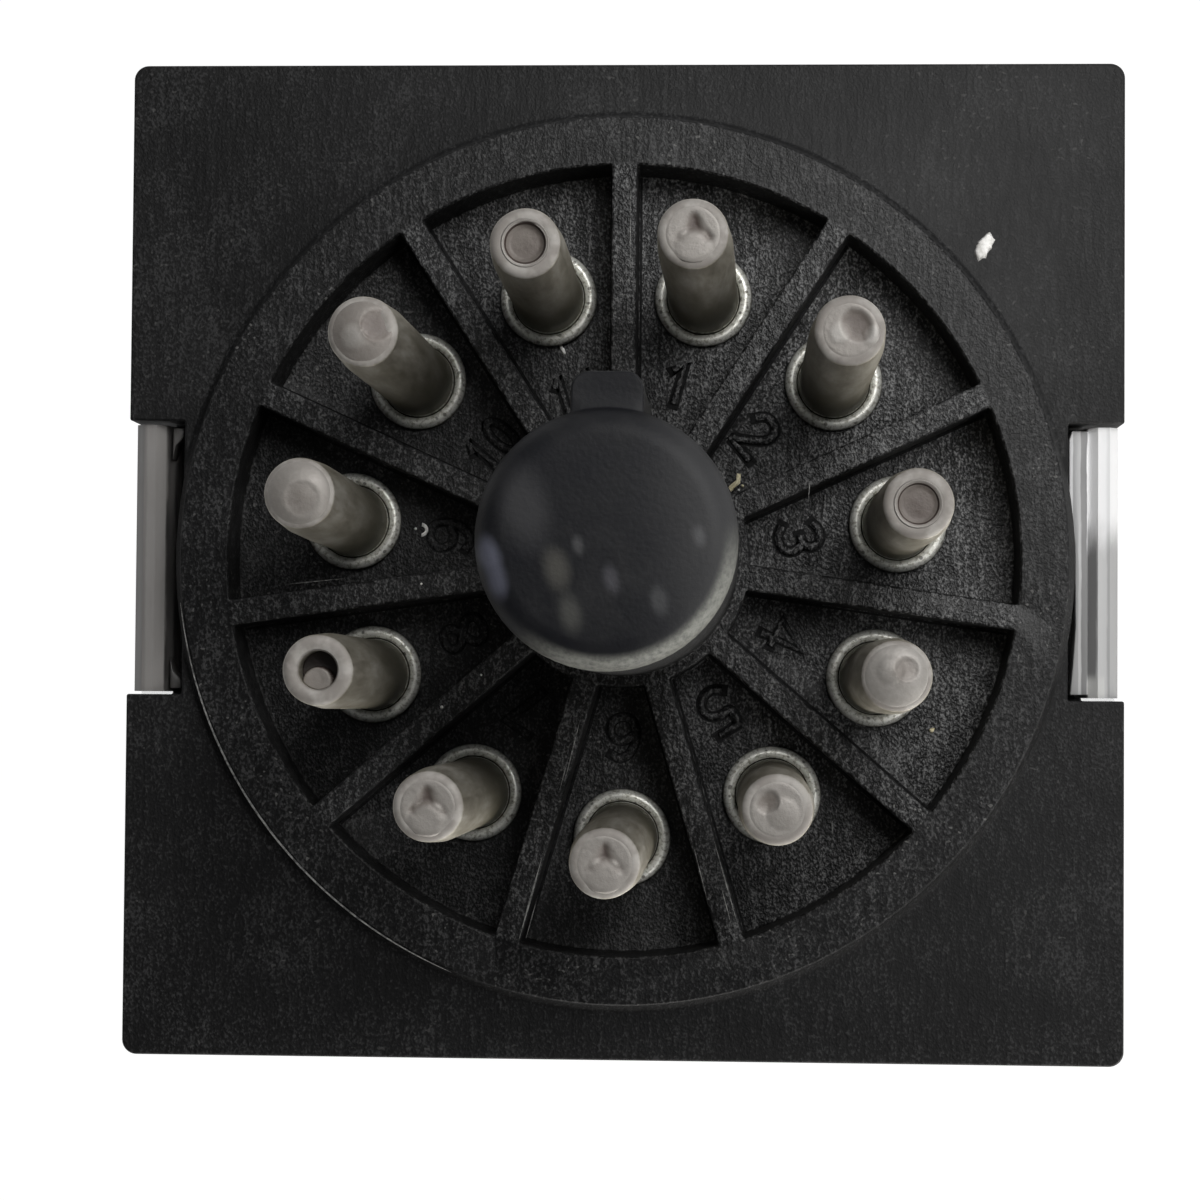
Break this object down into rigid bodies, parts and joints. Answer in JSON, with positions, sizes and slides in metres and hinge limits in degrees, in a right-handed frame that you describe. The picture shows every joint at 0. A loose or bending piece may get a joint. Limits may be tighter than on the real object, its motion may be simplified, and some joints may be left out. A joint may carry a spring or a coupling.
{
  "type": "plug-in relay",
  "caption": "Cube relay with changeover contacts under a clear cover, and a round keyed ring of hollow pins that plugs into a socket.",
  "frame": {"origin": "centre of the outer face of the cover's crown", "axes": "+Z from the crown towards the pins, +Y towards the key of the spigot, +X towards the side of pins 1 to 5"},
  "size_m": [0.034, 0.034, 0.0658],
  "materials": {
    "base_moulding": "black phenolic moulding, finely grained",
    "cover_clear": "clear polycarbonate moulding",
    "pin_metal": "tin-plated brass tube, dull",
    "solder": "aged tin-lead solder",
    "yoke_steel": "zinc-plated mild steel",
    "core_iron": "nickel-plated soft iron",
    "bobbin_plastic": "off-white moulding",
    "winding_wire": "enamelled copper wire",
    "tape": "polyester film tape",
    "terminal_metal": "tin-plated",
    "coil_lead": "yellow insulation",
    "armature_steel": "nickel-plated soft iron",
    "carrier_plastic": "cream moulding",
    "rivet_metal": "nickel-plated",
    "leaf_bronze": "phosphor bronze spring strip",
    "contact_silver": "silver alloy",
    "block_plastic": "dark brown phenolic moulding",
    "strip_brass": "brass strip",
    "closed_lead": "red insulation",
    "open_lead": "blue insulation",
    "braid": "braided copper",
    "spring_wire": "spring steel wire",
    "screw_steel": "zinc-plated steel"
  },
  "bodies": {
    "housing": {"base": "base_moulding", "cover": "cover_clear", "pin_1": "pin_metal", "pin_2": "pin_metal", "pin_3": "pin_metal", "pin_4": "pin_metal", "pin_5": "pin_metal", "pin_6": "pin_metal", "pin_7": "pin_metal", "pin_8": "pin_metal", "pin_9": "pin_metal", "pin_10": "pin_metal", "pin_11": "pin_metal", "solder_joints": "solder", "yoke": "yoke_steel", "core": "core_iron", "bobbin": "bobbin_plastic", "winding": "winding_wire", "coil_tape": "tape", "coil_terminals": "terminal_metal", "coil_leads": "coil_lead", "contact_block": "block_plastic", "closed_strip_left": "strip_brass", "closed_strip_middle": "strip_brass", "closed_strip_right": "strip_brass", "open_strip_left": "strip_brass", "open_strip_middle": "strip_brass", "open_strip_right": "strip_brass", "fixed_contacts": "contact_silver", "closed_leads": "closed_lead", "open_leads": "open_lead", "braid_left": "braid", "braid_middle": "braid", "braid_right": "braid", "return_spring": "spring_wire", "yoke_screws": "screw_steel", "block_screws": "screw_steel"},
    "armature": {"armature": "armature_steel", "contact_carrier": "carrier_plastic", "carrier_rivets": "rivet_metal", "moving_leaf_left": "leaf_bronze", "moving_leaf_middle": "leaf_bronze", "moving_leaf_right": "leaf_bronze", "moving_contacts": "contact_silver"}
  },
  "joints": [
    {"name": "armature_pivot", "type": "hinge", "parent": "housing", "child": "armature", "pos_m": [0, -0.0062, 0.0085], "axis": [1, 0, 0], "range_deg": [0, 3.5], "stiffness_Nm_per_rad": 0.02, "springref_deg": -17.19, "deforming": ["return_spring", "braid_left", "braid_middle", "braid_right"]}
  ]
}
